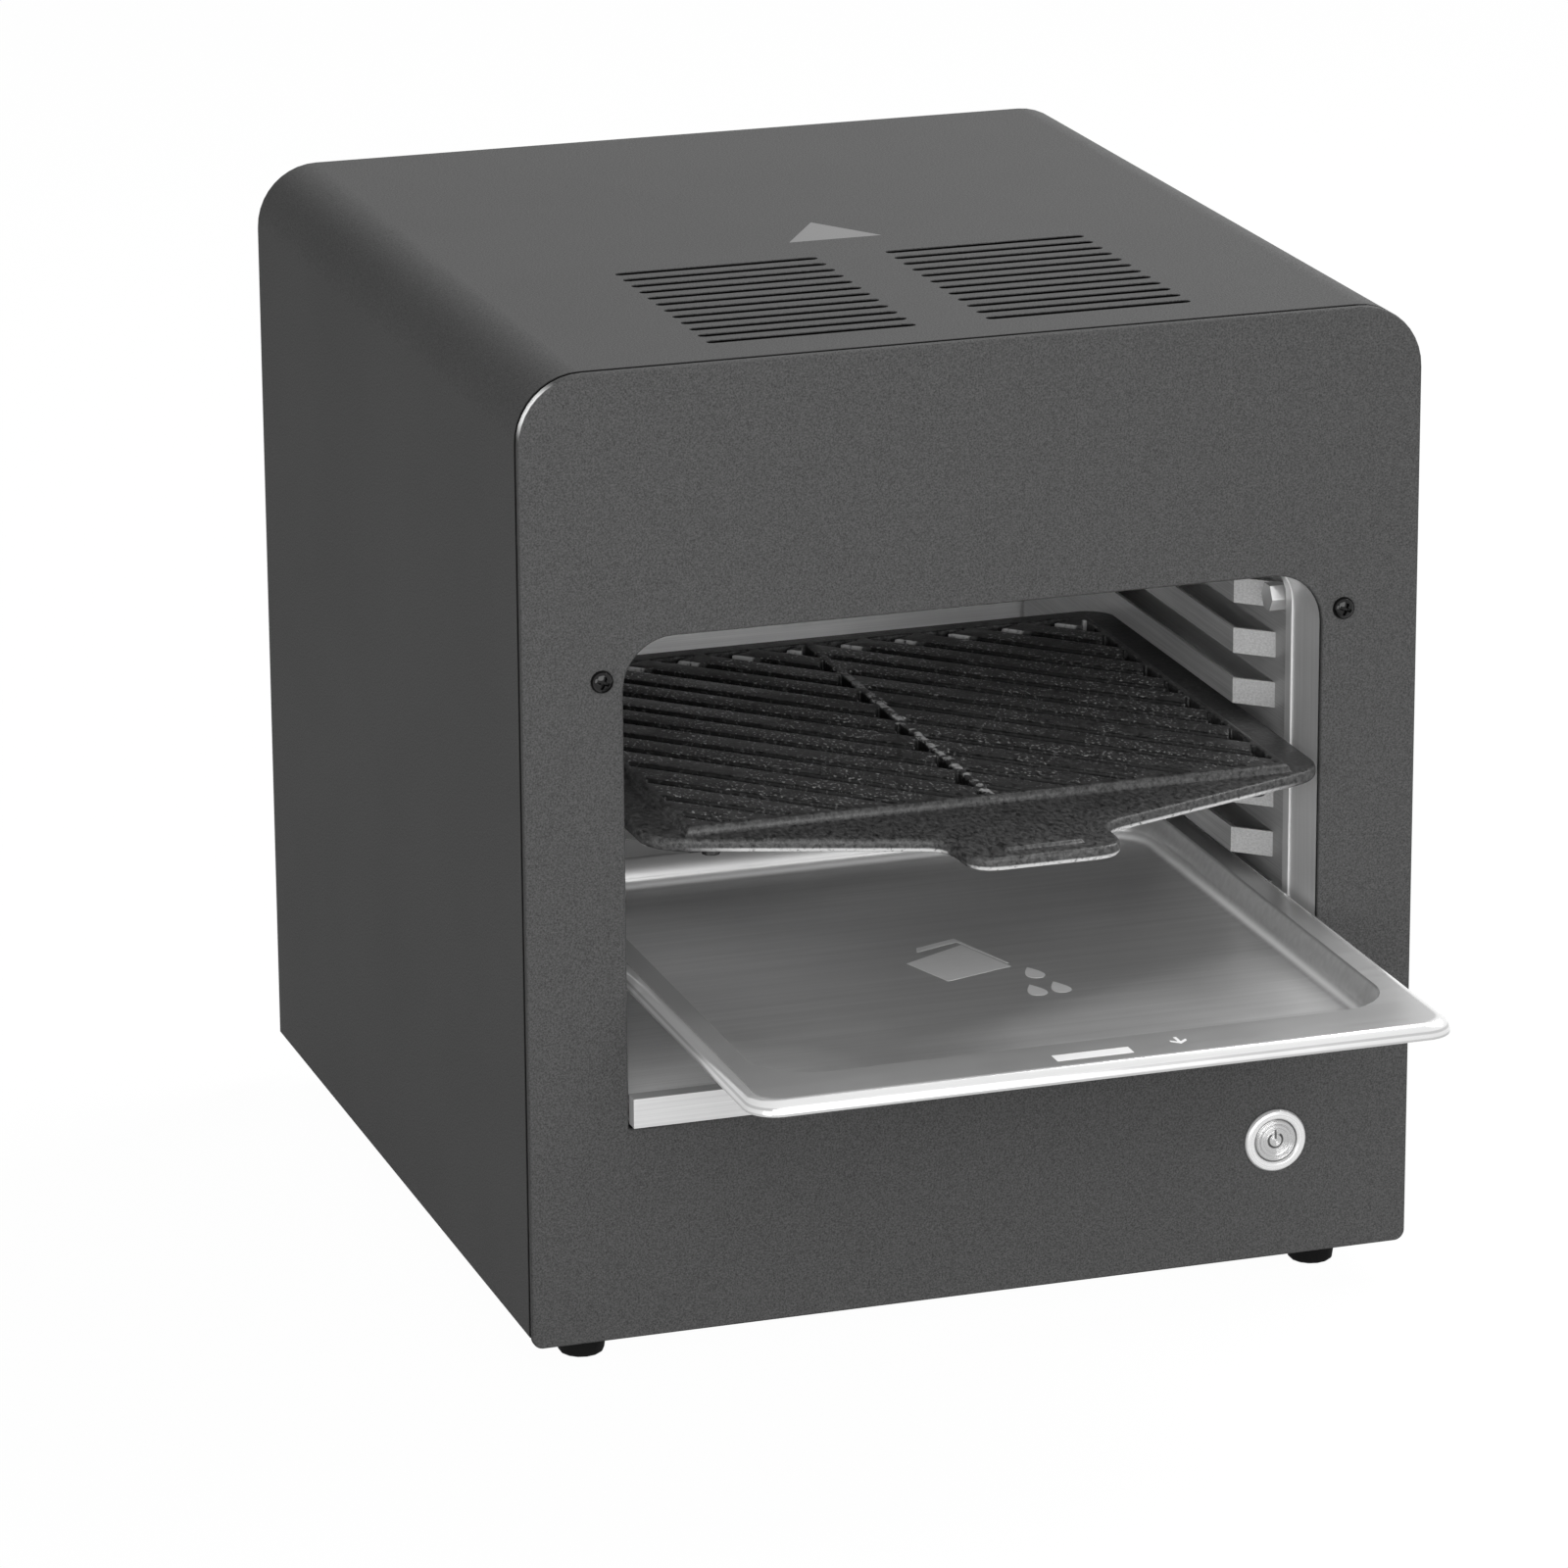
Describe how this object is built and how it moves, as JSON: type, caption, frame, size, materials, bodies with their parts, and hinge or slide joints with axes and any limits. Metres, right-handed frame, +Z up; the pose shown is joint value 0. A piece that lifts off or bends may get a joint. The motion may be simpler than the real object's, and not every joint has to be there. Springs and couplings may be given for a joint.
{
  "type": "infrared steak grill",
  "caption": "Upright countertop infrared grill: open-fronted steel cabinet, side runner racks, ribbed cast-iron plate and drip tray that slide out, push button.",
  "frame": {"origin": "on the worktop, in the middle of the whole outline with the plate and the tray pulled out as stored", "axes": "+X to the right seen from the front, +Y from the open front to the back, +Z up"},
  "size_m": [0.36, 0.525, 0.396],
  "materials": {
    "coated_steel": "fine textured matt charcoal coat",
    "zinc_steel": "zinc-coated sheet",
    "stainless_steel": "rolled stainless, satin",
    "tray_steel": "pressed stainless with a bright rolled rim",
    "cast_iron": "seasoned black casting",
    "heater_sheath": "heat-darkened nickel alloy sheath",
    "ceramic": "unglazed",
    "fibre_blanket": "pressed ceramic fibre",
    "black_screw": "black oxide",
    "rubber": "matt",
    "black_plastic": "fine grain",
    "wire_sleeve": "silicone sleeve"
  },
  "bodies": {
    "cabinet": {"wrap_cover": "coated_steel", "front_panel": "coated_steel", "front_frame": "zinc_steel", "rear_panel": "zinc_steel", "base_pan": "zinc_steel", "chassis_rail_left": "zinc_steel", "chassis_rail_right": "zinc_steel", "heat_shield": "zinc_steel", "button_nut": "zinc_steel", "opening_trim": "stainless_steel", "sill": "stainless_steel", "chamber_floor": "stainless_steel", "chamber_back": "stainless_steel", "reflector_hood": "stainless_steel", "front_baffle": "stainless_steel", "chamber_wall_left": "stainless_steel", "chamber_wall_right": "stainless_steel", "rack_left": "stainless_steel", "rack_right": "stainless_steel", "rack_bolt_front_left": "stainless_steel", "rack_bolt_front_right": "stainless_steel", "rack_bolt_rear_left": "stainless_steel", "rack_bolt_rear_right": "stainless_steel", "heater_bracket_front": "stainless_steel", "heater_bracket_rear": "stainless_steel", "button_bezel": "stainless_steel", "heater_left": "heater_sheath", "heater_right": "heater_sheath", "heater_bushing_1": "ceramic", "heater_bushing_2": "ceramic", "heater_bushing_3": "ceramic", "heater_bushing_4": "ceramic", "terminal_block": "ceramic", "side_blanket_left": "fibre_blanket", "side_blanket_right": "fibre_blanket", "top_blanket": "fibre_blanket", "front_screw_left": "black_screw", "front_screw_right": "black_screw", "foot_front_left": "rubber", "foot_front_right": "rubber", "foot_rear_left": "rubber", "foot_rear_right": "rubber", "switch_body": "black_plastic", "power_gland": "black_plastic", "gland_nut": "black_plastic", "limit_thermostat": "black_plastic", "wire_switch": "wire_sleeve", "wire_heater_left": "wire_sleeve", "wire_heater_right": "wire_sleeve"},
    "plate": {"grill_plate": "cast_iron"},
    "tray": {"drip_tray": "tray_steel"},
    "button": {"button_cap": "stainless_steel"}
  },
  "joints": [
    {"name": "plate_slide", "type": "slide", "parent": "cabinet", "child": "plate", "axis": [0, -1, 0], "range_m": [-0.1, 0.24]},
    {"name": "tray_slide", "type": "slide", "parent": "cabinet", "child": "tray", "axis": [0, -1, 0], "range_m": [-0.145, 0.19]},
    {"name": "button_press", "type": "slide", "parent": "cabinet", "child": "button", "axis": [0, 1, 0], "range_m": [0, 0.002], "stiffness_N_per_m": 1500}
  ]
}
